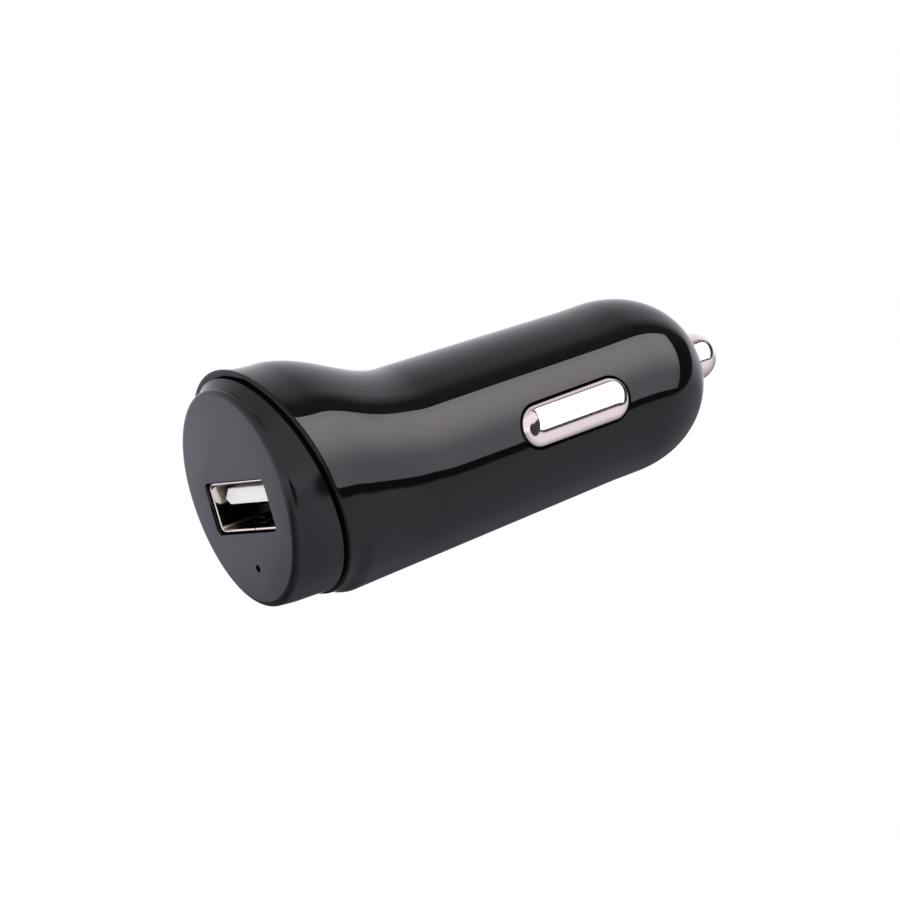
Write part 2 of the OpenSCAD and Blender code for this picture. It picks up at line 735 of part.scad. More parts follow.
module shoe(s) {
  color("silver") placed() translate([0, shoe_at, 0]) rotate([0, 0, s > 0 ? 0 : 180]) rotate([0, 90, 0])
    rotate([0, 0, 90]) {
      for (e = [0, 1]) rotate([0, 0, 180 * e]) {
        translate([shoe_span / 2, 0, 0]) rotate([0, 0, -90]) rotate_extrude(angle = 180)
          polygon(shoe_section());
        rotate([90, 0, 90]) linear_extrude(shoe_span, center = true) polygon(shoe_section());
      }
    }
}

module contact_arm(s) {
  color([0.75, 0.7, 0.6]) placed() mirror([s > 0 ? 0 : 1, 0, 0])
    translate([0, 0, -arm_w / 2]) linear_extrude(arm_w) polygon(strip([
      [tab_x, tab_from], [tab_x, tab_from + tab_len], [arm_x, tab_from + tab_len + arm_rise],
      [arm_x, arm_to]], arm_t));
}

body_shell();
face_cap();
usb_shell();
usb_insulator();
usb_contact(0);  // usb_contact_supply
usb_contact(1);  // usb_contact_data_minus
usb_contact(2);  // usb_contact_data_plus
usb_contact(3);  // usb_contact_ground
circuit_board();
controller_chip();
inductor_core();
inductor_winding();
input_capacitor();
output_capacitor();
rectifier_diode();
fuse();
chip_resistors();
chip_capacitors();
indicator_lamp();
lamp_leads();
tip_pin();
tip_spring();
tip_terminal();
shoe(1);  // contact_right
shoe(-1);  // contact_left
contact_arm(1);  // contact_arm_right
contact_arm(-1);  // contact_arm_left
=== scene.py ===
import math

import bmesh
import bpy
from mathutils import Matrix, Vector


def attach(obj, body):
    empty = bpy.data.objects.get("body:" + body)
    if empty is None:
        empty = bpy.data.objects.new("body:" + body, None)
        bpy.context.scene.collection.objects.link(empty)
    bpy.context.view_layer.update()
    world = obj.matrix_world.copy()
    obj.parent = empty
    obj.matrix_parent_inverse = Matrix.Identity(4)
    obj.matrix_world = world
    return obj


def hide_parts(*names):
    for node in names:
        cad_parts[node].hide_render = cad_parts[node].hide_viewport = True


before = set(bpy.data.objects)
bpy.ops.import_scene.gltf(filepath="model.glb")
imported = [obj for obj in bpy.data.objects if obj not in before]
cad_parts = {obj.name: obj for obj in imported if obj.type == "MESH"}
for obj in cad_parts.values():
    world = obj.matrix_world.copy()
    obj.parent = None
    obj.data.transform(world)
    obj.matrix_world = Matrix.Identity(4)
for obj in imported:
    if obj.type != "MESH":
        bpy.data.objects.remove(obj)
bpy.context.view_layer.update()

# Camera.
# The plug is seen from beyond its right-hand contact and a little towards the face, from just
# above, and the camera is rolled so that the tip points up and away to the right.
VIEW_AZIMUTH = math.radians(58.755)
VIEW_ELEVATION = math.radians(6.405)
VIEW_ROLL = math.radians(-16.149)
VIEW_DISTANCE = 0.394
VIEW_TARGET = Vector((0.00003, -0.02094, -0.00049))
LENS_MM = 139.2
SENSOR_MM = 36.0

back = Vector((
    math.sin(VIEW_AZIMUTH) * math.cos(VIEW_ELEVATION),
    -math.cos(VIEW_AZIMUTH) * math.cos(VIEW_ELEVATION),
    math.sin(VIEW_ELEVATION),
))
level_right = Vector((0.0, 0.0, 1.0)).cross(back).normalized()
level_up = back.cross(level_right)
right = level_right * math.cos(VIEW_ROLL) + level_up * math.sin(VIEW_ROLL)
up = level_up * math.cos(VIEW_ROLL) - level_right * math.sin(VIEW_ROLL)

camera = bpy.data.objects.new("camera", bpy.data.cameras.new("camera"))
camera.data.lens = LENS_MM
camera.data.sensor_width = SENSOR_MM
camera.data.clip_start = 0.01
camera.matrix_world = Matrix.Translation(VIEW_TARGET + back * VIEW_DISTANCE) @ Matrix(
    (right, up, back)).transposed().to_4x4()
bpy.context.collection.objects.link(camera)
bpy.context.scene.camera = camera
bpy.context.scene.view_settings.view_transform = "Standard"


# Paper room.
# The camera and clear things see pure white on every side. Polished things see pale paper from
# below round to the left and behind, a card by the plug's face, a grey table, and dark gaps.
def linear(colour):
    """Turns an sRGB hex colour into linear RGBA."""
    channels = [int(colour[k:k + 2], 16) / 255 for k in (1, 3, 5)]
    return [c / 12.92 if c <= 0.04045 else ((c + 0.055) / 1.055) ** 2.4 for c in channels] + [1.0]


def add(tree, kind, inputs=None, **settings):
    """Adds a node with its settings, its socket values and the links into it."""
    node = tree.nodes.new(kind)
    for name, value in settings.items():
        setattr(node, name, value)
    for socket, value in (inputs or {}).items():
        if isinstance(value, bpy.types.NodeSocket):
            tree.links.new(value, node.inputs[socket])
        else:
            node.inputs[socket].default_value = value
    return node


def spread(tree, value, start, end, low=0.0, high=1.0):
    """Spreads a value from one range over another, and holds it inside."""
    return add(tree, "ShaderNodeMapRange", {
        "Value": value, "From Min": start, "From Max": end, "To Min": low, "To Max": high,
    }).outputs["Result"]


def blend(tree, share, first, second, data_type="RGBA", **settings):
    """Mixes two colours by a share, or two numbers with the data type FLOAT."""
    return add(tree, "ShaderNodeMix", {"Factor": share, "A": first, "B": second},
               data_type=data_type, **settings).outputs["Result"]


def maths(tree, operation, *values):
    """Adds a sum on numbers."""
    return add(tree, "ShaderNodeMath", dict(enumerate(values)),
               operation=operation).outputs["Value"]


def ramp(tree, share, stops):
    """Adds a colour ramp with its stops, each a place and a linear colour."""
    node = add(tree, "ShaderNodeValToRGB", {"Fac": share})
    while len(node.color_ramp.elements) < len(stops):
        node.color_ramp.elements.new(1.0)
    for element, (place, colour) in zip(node.color_ramp.elements, stops):
        element.position = place
        element.color = (*colour, 1.0)
    return node.outputs["Color"]


AMBIENT = 0.92
WHITE = (1.0, 1.0, 1.0)
# Light of the gaps and of the paper from straight below, 0, to straight above, 1, and of the
# table from the far left to the near right.
DARK = (
    (0.55, (0.05, 0.05, 0.055)),
    (0.67, (0.10, 0.095, 0.11)),
    (0.75, (0.16, 0.15, 0.17)),
    (0.86, (0.20, 0.19, 0.21)),
    (0.92, (0.32, 0.31, 0.33)),
    (1.00, (0.45, 0.43, 0.46)),
)
PAPER = (
    (0.44, (1.26, 1.21, 1.42)),
    (0.50, (1.26, 1.21, 1.38)),
    (0.57, (1.05, 1.01, 1.10)),
    (0.80, (1.08, 1.03, 1.13)),
    (0.87, (1.00, 0.95, 1.05)),
    (0.92, (0.78, 0.74, 0.82)),
    (1.00, (0.70, 0.67, 0.74)),
)
TABLE = (
    (0.24, (0.10, 0.10, 0.115)),
    (0.32, (0.16, 0.155, 0.18)),
    (0.40, (0.28, 0.27, 0.32)),
    (0.50, (0.38, 0.37, 0.43)),
    (0.62, (0.52, 0.50, 0.58)),
    (0.75, (0.72, 0.69, 0.79)),
    (0.90, (0.94, 0.90, 1.02)),
)
HORIZON_FROM = 0.355
HORIZON_TO = 0.465
# Each edge of paper: a side, as shares of right, up and back, and how far round to that side the
# paper begins and is whole. The dark gap is a round hole in it, to the right of the camera. The
# last is the way across the table.
SHEET_BELOW = ((-0.546, -0.793, -0.271), -0.465, -0.430)
SHEET_BEHIND = ((-0.595, 0.429, -0.679), 0.22, 0.40)
CARD_LOW_EDGE = ((-0.548, 0.757, 0.357), 0.09, 0.13)
CARD_HIGH_EDGE = ((-0.425, -0.269, 0.864), 0.05, 0.09)
DARK_GAP = ((0.585, -0.105, 0.804), 0.965, 0.945)
TABLE_ACROSS = ((0.8, 0.0, 0.6), -1.0, 1.0)

world = bpy.data.worlds.new("paper_room")
bpy.context.scene.world = world
world.use_nodes = True
tree = world.node_tree
tree.nodes.clear()
path = add(tree, "ShaderNodeLightPath")
where = add(tree, "ShaderNodeTexCoord")


def towards(side, start, end):
    """Share, from a start to an end, by which a direction points to a side: right, up and back."""
    side = right * side[0] + up * side[1] + back * side[2]
    reach = add(tree, "ShaderNodeVectorMath", {0: where.outputs["Generated"], 1: side},
                operation="DOT_PRODUCT")
    return spread(tree, reach.outputs["Value"], start, end)


sheets = maths(tree, "MAXIMUM", towards(*SHEET_BELOW), towards(*SHEET_BEHIND))
card = maths(tree, "MINIMUM", towards(*CARD_LOW_EDGE), towards(*CARD_HIGH_EDGE))
papers = maths(tree, "MINIMUM", maths(tree, "MAXIMUM", card, sheets), towards(*DARK_GAP))
height = add(tree, "ShaderNodeSeparateXYZ", {"Vector": where.outputs["Generated"]})
share = spread(tree, height.outputs["Z"], -1.0, 1.0)
horizon = spread(tree, share, HORIZON_FROM, HORIZON_TO)
table = ramp(tree, towards(*TABLE_ACROSS), TABLE)
light = blend(tree, horizon, table, ramp(tree, share, PAPER))
around = blend(tree, papers, ramp(tree, share, DARK), light)
seen = blend(tree, path.outputs["Is Glossy Ray"], (AMBIENT, AMBIENT, AMBIENT, 1.0), around)
clear = maths(tree, "MAXIMUM", path.outputs["Is Camera Ray"], path.outputs["Is Transmission Ray"])
shown = blend(tree, clear, seen, (*WHITE, 1.0))
paper = add(tree, "ShaderNodeBackground", {"Color": shown, "Strength": 1.0})
add(tree, "ShaderNodeOutputWorld", {"Surface": paper.outputs["Background"]})

# The floor below the plug glows almost white by itself and takes the rest from the lamp. Polished
# things don't see it.
FLOOR_DROP = 0.055
FLOOR_SIDE = 6.0
FLOOR_GLOW = 0.88
FLOOR_GREY = 0.15
bm = bmesh.new()
bmesh.ops.create_grid(bm, x_segments=1, y_segments=1, size=FLOOR_SIDE / 2,
                      matrix=Matrix.Translation((0.0, 0.0, -FLOOR_DROP)))
floor_mesh = bpy.data.meshes.new("floor")
bm.to_mesh(floor_mesh)
bm.free()
floor = bpy.data.objects.new("floor", floor_mesh)
bpy.context.collection.objects.link(floor)
floor.visible_glossy = False
floor.visible_shadow = False
floor_paper = bpy.data.materials.new("white_paper")
floor_paper.use_nodes = True
tree = floor_paper.node_tree
tree.nodes.clear()
lit = add(tree, "ShaderNodeBsdfDiffuse", {"Color": (FLOOR_GREY, FLOOR_GREY, FLOOR_GREY, 1.0)})
glow = add(tree, "ShaderNodeEmission", {"Color": (*WHITE, 1.0), "Strength": FLOOR_GLOW})
bright = add(tree, "ShaderNodeAddShader", {0: lit.outputs["BSDF"], 1: glow.outputs["Emission"]})
add(tree, "ShaderNodeOutputMaterial", {"Surface": bright.outputs["Shader"]})
floor.data.materials.append(floor_paper)

# Softbox.
# One big lamp stands to the right, leans over the plug and is turned a little towards it. Its
# cloth is hottest above its middle and at its near side, and falls off towards its lower edge.
SOFTBOX_WIDE = 0.396
SOFTBOX_TALL = 0.496
SOFTBOX_AT = right * 0.4037 + up * 0.1902 + back * 0.0471
CLOTH_LEVEL = 7.1
LAMP_LEVEL = 2.6
SOFTBOX_UP = (up * 0.849 - right * 0.441 - back * 0.29).normalized()
SOFTBOX_ACROSS = (right * 0.651 + up * 0.08 - back * 0.755).normalized()
# Light of the cloth from its lower edge to its upper, and from its near side to its far.
CLOTH_RISE = (
    (0.00, (0.46, 0.445, 0.50)),
    (0.30, (0.445, 0.43, 0.485)),
    (0.40, (0.57, 0.54, 0.60)),
    (0.50, (0.77, 0.72, 0.77)),
    (0.63, (0.96, 0.89, 0.93)),
    (0.75, (1.0, 0.93, 0.98)),
    (0.85, (1.0, 0.95, 1.02)),
    (0.95, (0.87, 0.83, 0.90)),
)
CLOTH_ACROSS = (
    (0.00, (1.0, 1.0, 1.0)),
    (0.14, (0.96, 0.96, 0.96)),
    (0.43, (0.80, 0.80, 0.80)),
    (0.70, (0.70, 0.70, 0.70)),
    (1.00, (0.45, 0.45, 0.45)),
)

facing = SOFTBOX_ACROSS.cross(SOFTBOX_UP).normalized()
turned = Matrix((SOFTBOX_ACROSS, SOFTBOX_UP, facing)).transposed().to_4x4()
# Polished things see the cloth, and the lamp inside lights all that is dull.
for name, level, mirrored in (
        ("softbox_cloth", CLOTH_LEVEL, True), ("softbox_lamp", LAMP_LEVEL, False)):
    softbox = bpy.data.objects.new(name, bpy.data.lights.new(name, "AREA"))
    softbox.data.shape = "RECTANGLE"
    softbox.data.size = SOFTBOX_WIDE
    softbox.data.size_y = SOFTBOX_TALL
    softbox.data.energy = level * math.pi * SOFTBOX_WIDE * SOFTBOX_TALL
    softbox.matrix_world = Matrix.Translation(VIEW_TARGET + SOFTBOX_AT) @ turned
    softbox.visible_camera = False
    softbox.visible_diffuse = not mirrored
    softbox.visible_glossy = mirrored
    bpy.context.collection.objects.link(softbox)
cloth = bpy.data.lights["softbox_cloth"]
cloth.use_nodes = True
tree = cloth.node_tree
tree.nodes.clear()
where = add(tree, "ShaderNodeNewGeometry")
split = add(tree, "ShaderNodeSeparateXYZ", {"Vector": where.outputs["Parametric"]})
rise = ramp(tree, split.outputs["Y"], CLOTH_RISE)
across = ramp(tree, split.outputs["X"], CLOTH_ACROSS)
lit_cloth = blend(tree, 1.0, rise, across, blend_type="MULTIPLY")
lamp = add(tree, "ShaderNodeEmission", {"Color": lit_cloth, "Strength": 1.0})
add(tree, "ShaderNodeOutputLight", {"Surface": lamp.outputs["Emission"]})


# Body.
# One ABS moulding, polished in the mould: a flared head with a raised saddle, a barrel with a
# little draft and a round nose. Two windows let the side contacts out, and a hole the tip pin.
LAND_R = 10.3
LAND_LEN = 3.6
NOSE_FROM = 50.5
BARREL_DRAFT = math.tan(math.radians(1.65))
NOSE_LEN = 11.85
NOSE_POWER = 2.1
WALL = 1.5
INNER_CHAMFER = 0.1
JOINT_FROM = 4.85
JOINT_SLOPE = math.tan(math.radians(9.8))
SADDLE_H = 4.42
SADDLE_FROM = 6.7
LIP_H = 1.15
CHEEK_H = 1.78
CHEEK_AT = 5.0
CHEEK_LEAD = 9.1
CHEEK_TO = 18.7
CHIN_H = 0.7
CHIN_AT = 7.1
CHIN_LEAD = 6.5
CHIN_TO = 9.7
WIDEST_SHARE = 0.62
ROUND_FROM = 22.0
RIM_ROUND = 0.3
LAND_FROM = NOSE_FROM - LAND_LEN
LAND_MID = NOSE_FROM - LAND_LEN / 2
PIN_R = 2.84
PIN_FIT = 0.1
GUIDE_LEN = 2.3
HOLE_SOFT = 0.12
HOLE_LIP = 0.02
CHAMBER_R = 5.1
SHOE_AT = 38.7
SHOE_LEN = 15.4
SHOE_R = 5.05 / 2
SHOE_FIT = 0.22
WINDOW_FROM = 6.0
WINDOW_DEPTH = 8.0
SIDES = 192
HEAD_STEPS = 44
INNER_STEPS = 14
NOSE_STEPS = 26
RIM_STEPS = 4
PLACE = Matrix.Scale(0.001, 4) @ Matrix.Translation((0.0, -LAND_MID, 0.0))
SHARP = math.radians(28)


def barrel_r(y):
    """Radius of the barrel at a distance behind the face."""
    return LAND_R + max(0.0, LAND_FROM - y) * BARREL_DRAFT


def fall(y, start, end):
    """Share that falls from 1 to 0 between two places in half a wave."""
    if y <= start:
        return 1.0
    if y >= end:
        return 0.0
    return (1 + math.cos(math.pi * (y - start) / (end - start))) / 2


def saddle(y):
    """Height of the raised saddle, with its lip at the joint."""
    return SADDLE_H * fall(y, SADDLE_FROM, ROUND_FROM) + LIP_H * max(0.0, 1 - y / SADDLE_FROM) ** 2


def cheek(y):
    """Width that the head has over the barrel at each side."""
    if y < CHEEK_AT:
        return CHEEK_H * (1 - ((CHEEK_AT - y) / CHEEK_LEAD) ** 2)
    return CHEEK_H * fall(y, CHEEK_AT, CHEEK_TO)


def chin(y):
    """Depth by which the head is hollowed underneath."""
    if y < CHIN_AT:
        return CHIN_H * fall(CHIN_AT - y, 0.0, CHIN_LEAD)
    return CHIN_H * fall(y, CHIN_AT, CHIN_TO)


def outline(y, turn, inset):
    """Point of the section at a distance behind the face: two half ellipses."""
    radius = barrel_r(y) - inset
    rise = saddle(y) * WIDEST_SHARE
    reach = radius + saddle(y) - rise if math.sin(turn) >= 0 else radius + rise - chin(y)
    return (radius + cheek(y)) * math.cos(turn), rise + reach * math.sin(turn)


def section(at, lean, inset, sink=0.0):
    """Ring of the section that leans with the joint by a share of its tilt."""
    def point(turn):
        y = at
        for _ in range(3):
            x, z = outline(y, turn, inset)
            y = at - lean * JOINT_SLOPE * z
        return x, y, z - sink
    return point


def circle(radius, y):
    """Round ring of the barrel, the nose or a bore."""
    def point(turn):
        return radius * math.cos(turn), y, radius * math.sin(turn)
    return point


def corners(geom):
    """Vertices among what an operator has made."""
    return [g for g in geom if isinstance(g, bmesh.types.BMVert)]


def loft(rings, ends):
    """Pulls a loop of edges through the rings; its ends are joined, filled or left open."""
    bm = bmesh.new()
    turn = bm.verts.layers.float.new("turn")
    verts = bmesh.ops.create_circle(bm, segments=SIDES, radius=1.0)["verts"]
    for v in verts:
        v[turn] = math.atan2(v.co.y, v.co.x)
        v.co = rings[0](v[turn])
    first = edges = list(bm.edges)
    for ring in rings[1:]:
        made = bmesh.ops.extrude_edge_only(bm, edges=edges)["geom"]
        verts = corners(made)
        fresh = set(verts)
        edges = [g for g in made if isinstance(g, bmesh.types.BMEdge) and fresh.issuperset(g.verts)]
        for v in verts:
            v.co = ring(v[turn])
    if ends == "joined":
        bmesh.ops.bridge_loops(bm, edges=first + edges)
    if ends == "filled":
        bmesh.ops.edgeloop_fill(bm, edges=first)
        bmesh.ops.edgeloop_fill(bm, edges=edges)
    return bm


def as_piece(name, bm):
    """Makes an object of a mesh in millimetres, with its place in its mesh."""
    bmesh.ops.remove_doubles(bm, verts=bm.verts, dist=1e-4)
    bmesh.ops.recalc_face_normals(bm, faces=bm.faces)
    bmesh.ops.transform(bm, matrix=PLACE, verts=bm.verts)
    mesh = bpy.data.meshes.new(name)
    bm.to_mesh(mesh)
    bm.free()
    piece = bpy.data.objects.new(name, mesh)
    bpy.context.collection.objects.link(piece)
    return piece


def cut(piece, cutters):
    """Cuts the cutters out of a piece and deletes them."""
    for cutter in cutters:
        boolean = piece.modifiers.new("cut", "BOOLEAN")
        boolean.object = cutter
        boolean.solver = "EXACT"
    graph = bpy.context.evaluated_depsgraph_get()
    made = bpy.data.meshes.new_from_object(piece.evaluated_get(graph))
    piece.modifiers.clear()
    old = piece.data
    piece.data = made
    bpy.data.meshes.remove(old)
    for cutter in cutters:
        bpy.data.meshes.remove(cutter.data)


def finished(piece, body, node, material):
    """Smooths a piece, gives it its material and puts it in the place of its CAD node."""
    piece.data.shade_smooth()
    piece.data.set_sharp_from_angle(angle=SHARP)
    piece.data.materials.clear()
    piece.data.materials.append(material)
    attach(piece, body)
    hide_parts(node)


def blank(name):
    """Adds an empty material; gives back it, its tree and the place on the piece, in metres."""
    material = bpy.data.materials.new(name)
    material.use_nodes = True
    tree = material.node_tree
    tree.nodes.clear()
    return material, tree, add(tree, "ShaderNodeTexCoord").outputs["Object"]


def noise(tree, spot, size, detail):
    """Adds a noise with grains of a size in millimetres."""
    return add(tree, "ShaderNodeTexNoise", {
        "Vector": spot, "Scale": 1000 / size, "Detail": detail}).outputs["Fac"]


def dulled(tree, pattern, least, most):
    """Spreads the middle of a noise over a range of roughness."""
    return spread(tree, pattern, 0.3, 0.7, least, most)


def shades(tree, pattern, first, second):
    """Mixes two sRGB hex colours by a pattern."""
    return blend(tree, pattern, linear(first), linear(second))


def bump(tree, height, strength, distance):
    """Turns a pattern into relief, with its depth in metres."""
    return add(tree, "ShaderNodeBump", {
        "Height": height, "Strength": strength, "Distance": distance}).outputs["Normal"]


def surface(tree, inputs):
    """Adds the surface with its inputs and ends the tree with it."""
    skin = add(tree, "ShaderNodeBsdfPrincipled", inputs)
    add(tree, "ShaderNodeOutputMaterial", {"Surface": skin.outputs["BSDF"]})


def rounded(bm, geom, offset, segments, affect="EDGES"):
    """Rounds edges or corners of a mesh."""
    bmesh.ops.bevel(bm, geom=geom, offset=offset, offset_type="OFFSET", segments=segments,
                    profile=0.5, affect=affect, material=-1)


def obround_bar(length, radius, depth):
    """Makes an obround bar that stands on the XY plane, long along Y."""
    bm = bmesh.new()
    made = bmesh.ops.create_grid(bm, x_segments=1, y_segments=1, size=0.5)["verts"]
    bmesh.ops.scale(bm, vec=(2 * radius, length, 1.0), verts=made)
    rounded(bm, made, radius * 0.9999, 24, "VERTICES")
    made = bmesh.ops.extrude_face_region(bm, geom=bm.faces[:])["geom"]
    bmesh.ops.translate(bm, vec=(0, 0, depth), verts=corners(made))
    return bm


def nose_r(y):
    """Radius of the nose: a quarter of a superellipse."""
    return LAND_R * max(0.0, 1 - ((y - NOSE_FROM) / NOSE_LEN) ** NOSE_POWER) ** (1 / NOSE_POWER)


pin_hole_r = PIN_R + PIN_FIT
nose_open = NOSE_FROM + NOSE_LEN * (1 - (pin_hole_r / LAND_R) ** NOSE_POWER) ** (1 / NOSE_POWER)
stop_y = nose_open - GUIDE_LEN
rings = [circle(pin_hole_r, stop_y), circle(pin_hole_r, nose_open - HOLE_SOFT)]
for k in range(NOSE_STEPS, -1, -1):
    y = NOSE_FROM + (nose_open - HOLE_LIP - NOSE_FROM) * math.sin(math.pi / 2 * k / NOSE_STEPS)
    rings.append(circle(nose_r(y), y))
rings += [circle(barrel_r(y), y) for y in (50.0, 49.4, 48.8, 48.2, 47.6, LAND_FROM)]
rings += [circle(barrel_r(y), y) for y in range(46, 22, -1)]
for k in range(HEAD_STEPS, 0, -1):
    along = k / HEAD_STEPS
    rings.append(section(JOINT_FROM + (ROUND_FROM - JOINT_FROM) * along, 1 - along, 0.0))
for k in range(RIM_STEPS + 1):
    bend = math.pi / 2 * k / RIM_STEPS
    rings.append(section(JOINT_FROM + RIM_ROUND * (1 - math.sin(bend)), 1.0,
                         RIM_ROUND * (1 - math.cos(bend))))
rings.append(section(JOINT_FROM, 1.0, WALL - INNER_CHAMFER))
rings.append(section(JOINT_FROM + INNER_CHAMFER, 1.0, WALL))
for k in range(1, INNER_STEPS + 1):
    along = k / INNER_STEPS
    rings.append(section(JOINT_FROM + (ROUND_FROM - JOINT_FROM) * along, 1 - along, WALL))
rings += [circle(barrel_r(y) - WALL, y)
          for y in (26.0, 30.0, 34.0, 38.0, 42.0, 46.0, LAND_FROM, NOSE_FROM)]
rings.append(circle(CHAMBER_R, stop_y))
body = as_piece("body_moulding", loft(rings, "joined"))

windows = []
for side in (-1, 1):
    bm = obround_bar(SHOE_LEN + 2 * SHOE_FIT, SHOE_R + SHOE_FIT, WINDOW_DEPTH)
    bmesh.ops.rotate(bm, verts=bm.verts, matrix=Matrix.Rotation(math.radians(90 * side), 3, "Y"))
    bmesh.ops.translate(bm, vec=(side * WINDOW_FROM, SHOE_AT, 0), verts=bm.verts)
    windows.append(as_piece(f"window_{side}", bm))
cut(body, windows)

# Polished black ABS: deep and nearly mirror-like, with a faint waviness from the mould, a film of
# handling that dulls it in patches, and pin-prick dust. The walls of the side windows are matt,
# from just under the skin inwards.
ABS_COLOUR = "#050506"
WAVE_MM = 9.0
FILM_MM = 3.5
DUST_MM = 0.5
INNER_DULL = 0.7
# In metres: how far out the matt walls reach, and their stretch along the plug.
INNER_R = 0.01022
WINDOW_MID = -0.01
WINDOW_REACH = 0.0085
gloss, tree, spot = blank("polished_black_abs")
wave = noise(tree, spot, size=WAVE_MM, detail=1.0)
film = noise(tree, spot, size=FILM_MM, detail=4.0)
dull = spread(tree, film, 0.35, 0.7, low=0.02, high=0.055)
dust = add(tree, "ShaderNodeTexVoronoi", {
    "Vector": spot, "Scale": 1000 / DUST_MM, "Randomness": 1.0}).outputs["Distance"]
speck = spread(tree, dust, 0.035, 0.06, low=0.25, high=0.0)
outer = maths(tree, "ADD", dull, speck)
across = add(tree, "ShaderNodeVectorMath", {0: spot, 1: (1.0, 0.0, 1.0)}, operation="MULTIPLY")
from_axis = add(tree, "ShaderNodeVectorMath", {0: across.outputs["Vector"]}, operation="LENGTH")
along = add(tree, "ShaderNodeSeparateXYZ", {"Vector": spot}).outputs["Y"]
skin_r = maths(tree, "MULTIPLY_ADD", along, -BARREL_DRAFT, INNER_R)
deep = maths(tree, "LESS_THAN", from_axis.outputs["Value"], skin_r)
by_window = maths(tree, "COMPARE", along, WINDOW_MID, WINDOW_REACH)
inner = maths(tree, "MULTIPLY", deep, by_window)
rough = blend(tree, inner, outer, INNER_DULL, data_type="FLOAT")
ripple = bump(tree, wave, strength=0.2, distance=0.00004)
surface(tree, {
    "Base Color": linear(ABS_COLOUR), "Roughness": rough, "IOR": 1.53, "Specular IOR Level": 0.25,
    "Normal": ripple})
finished(body, "housing", "body_shell", gloss)


# Face cap.
# A separate dark grey moulding, pushed into the head by its skirt and set a little lower than the
# body, with a groove along the joint. It holds the port's window and the small lamp hole.
CAP_STEP = 0.7
CAP_DRAFT = 1.12
CAP_EDGE = 0.85
CAP_SINK = 0.33
GROOVE_W = 0.35
GROOVE_DEPTH = 0.3
GROOVE_SOFT_Y = 0.05
GROOVE_SOFT_R = 0.08
SKIRT_LEN = 3.0
SKIRT_T = 1.2
FACE_T = 1.6
SKIRT_FIT = 0.15
PORT_Z = 1.48
MOUTH_W = 12.5
MOUTH_H = 5.12
SHELL_T = 0.3
SHELL_ROUND = 0.8
SHELL_W = MOUTH_W + 2 * SHELL_T
SHELL_H = MOUTH_H + 2 * SHELL_T
WINDOW_FIT = 0.15
LAMP_DROP = 5.55
LAMP_HOLE_R = 0.45
CUT_PAST = 1.0
EDGE_STEPS = 8
SIDE_STEPS = 6

groove_y = JOINT_FROM - GROOVE_W
groove_in = CAP_STEP + CAP_SINK + GROOVE_DEPTH
skirt_in = WALL + SKIRT_FIT
hollow_in = skirt_in + SKIRT_T
rings = []
for k in range(EDGE_STEPS + 1):
    bend = math.pi / 2 * k / EDGE_STEPS
    rings.append(section(CAP_EDGE * (1 - math.cos(bend)), 0.0,
                         CAP_STEP + CAP_DRAFT + CAP_EDGE * (1 - math.sin(bend)), CAP_SINK))
for k in range(1, SIDE_STEPS + 1):
    along = k / SIDE_STEPS
    rings.append(section(CAP_EDGE + (groove_y - CAP_EDGE) * along, along,
                         CAP_STEP + CAP_DRAFT * (1 - along), CAP_SINK))
rings += [
    section(groove_y + GROOVE_SOFT_Y, 1.0, CAP_STEP + GROOVE_SOFT_R, CAP_SINK),
    section(groove_y + GROOVE_SOFT_Y, 1.0, groove_in),
    section(JOINT_FROM, 1.0, groove_in),
    section(JOINT_FROM, 1.0, skirt_in),
    section(JOINT_FROM + SKIRT_LEN, 1.0, skirt_in),
    section(JOINT_FROM + SKIRT_LEN, 1.0, hollow_in),
    section(FACE_T, 0.0, hollow_in),
]
cap = as_piece("face_cap_moulding", loft(rings, "filled"))


def box(bm, size, middle):
    """Adds a box and gives back its corners."""
    verts = bmesh.ops.create_cube(bm, size=1.0)["verts"]
    bmesh.ops.scale(bm, vec=size, verts=verts)
    bmesh.ops.translate(bm, vec=middle, verts=verts)
    return verts


def bar(width, height, corner, start, end, segments):
    """Makes a bar along Y with rounded long edges, in millimetres."""
    bm = bmesh.new()
    box(bm, (width, end - start, height), (0, (start + end) / 2, 0))
    long_edges = [e for e in bm.edges if abs(e.verts[0].co.y - e.verts[1].co.y) > 1e-6]
    rounded(bm, long_edges, corner, segments)
    return bm


bm = bar(SHELL_W + 2 * WINDOW_FIT, SHELL_H + 2 * WINDOW_FIT, SHELL_ROUND,
         -CUT_PAST, FACE_T + CUT_PAST, 8)
bmesh.ops.translate(bm, vec=(0, 0, PORT_Z), verts=bm.verts)
window = as_piece("port_window", bm)
bm = bmesh.new()
bmesh.ops.create_cone(
    bm, cap_ends=True, segments=32, radius1=LAMP_HOLE_R, radius2=LAMP_HOLE_R, depth=4.0,
    matrix=Matrix.Translation((0, FACE_T / 2, -LAMP_DROP)) @ Matrix.Rotation(math.pi / 2, 4, "X"))
peep = as_piece("lamp_peep", bm)
cut(cap, [window, peep])

# Dark grey ABS. The face has a fine spark-eroded grain, so it takes a satin sheen, and the mould
# was left polished round the sides. The sides' darker colour is painted shade.
CAP_COLOUR = "#131318"
CAP_SIDE_SHADE_COLOUR = "#0b0b0d"
CAP_SIDE_DULL = 0.07
GRAIN_MM = 0.16
satin, tree, spot = blank("eroded_grey_abs")
grain = noise(tree, spot, size=GRAIN_MM, detail=2.0)
pit = bump(tree, grain, strength=0.12, distance=0.00002)
dull = dulled(tree, grain, least=0.14, most=0.19)
shape = add(tree, "ShaderNodeNewGeometry")
outwards = add(tree, "ShaderNodeVectorMath", {0: shape.outputs["Normal"], 1: (0.0, -1.0, 0.0)},
               operation="DOT_PRODUCT").outputs["Value"]
face = spread(tree, outwards, 0.8, 0.97)
# Painted shade: the sides get a darker colour than the face, by the way they face.
tint = shades(tree, face, CAP_SIDE_SHADE_COLOUR, CAP_COLOUR)
rough = blend(tree, face, CAP_SIDE_DULL, dull, data_type="FLOAT")
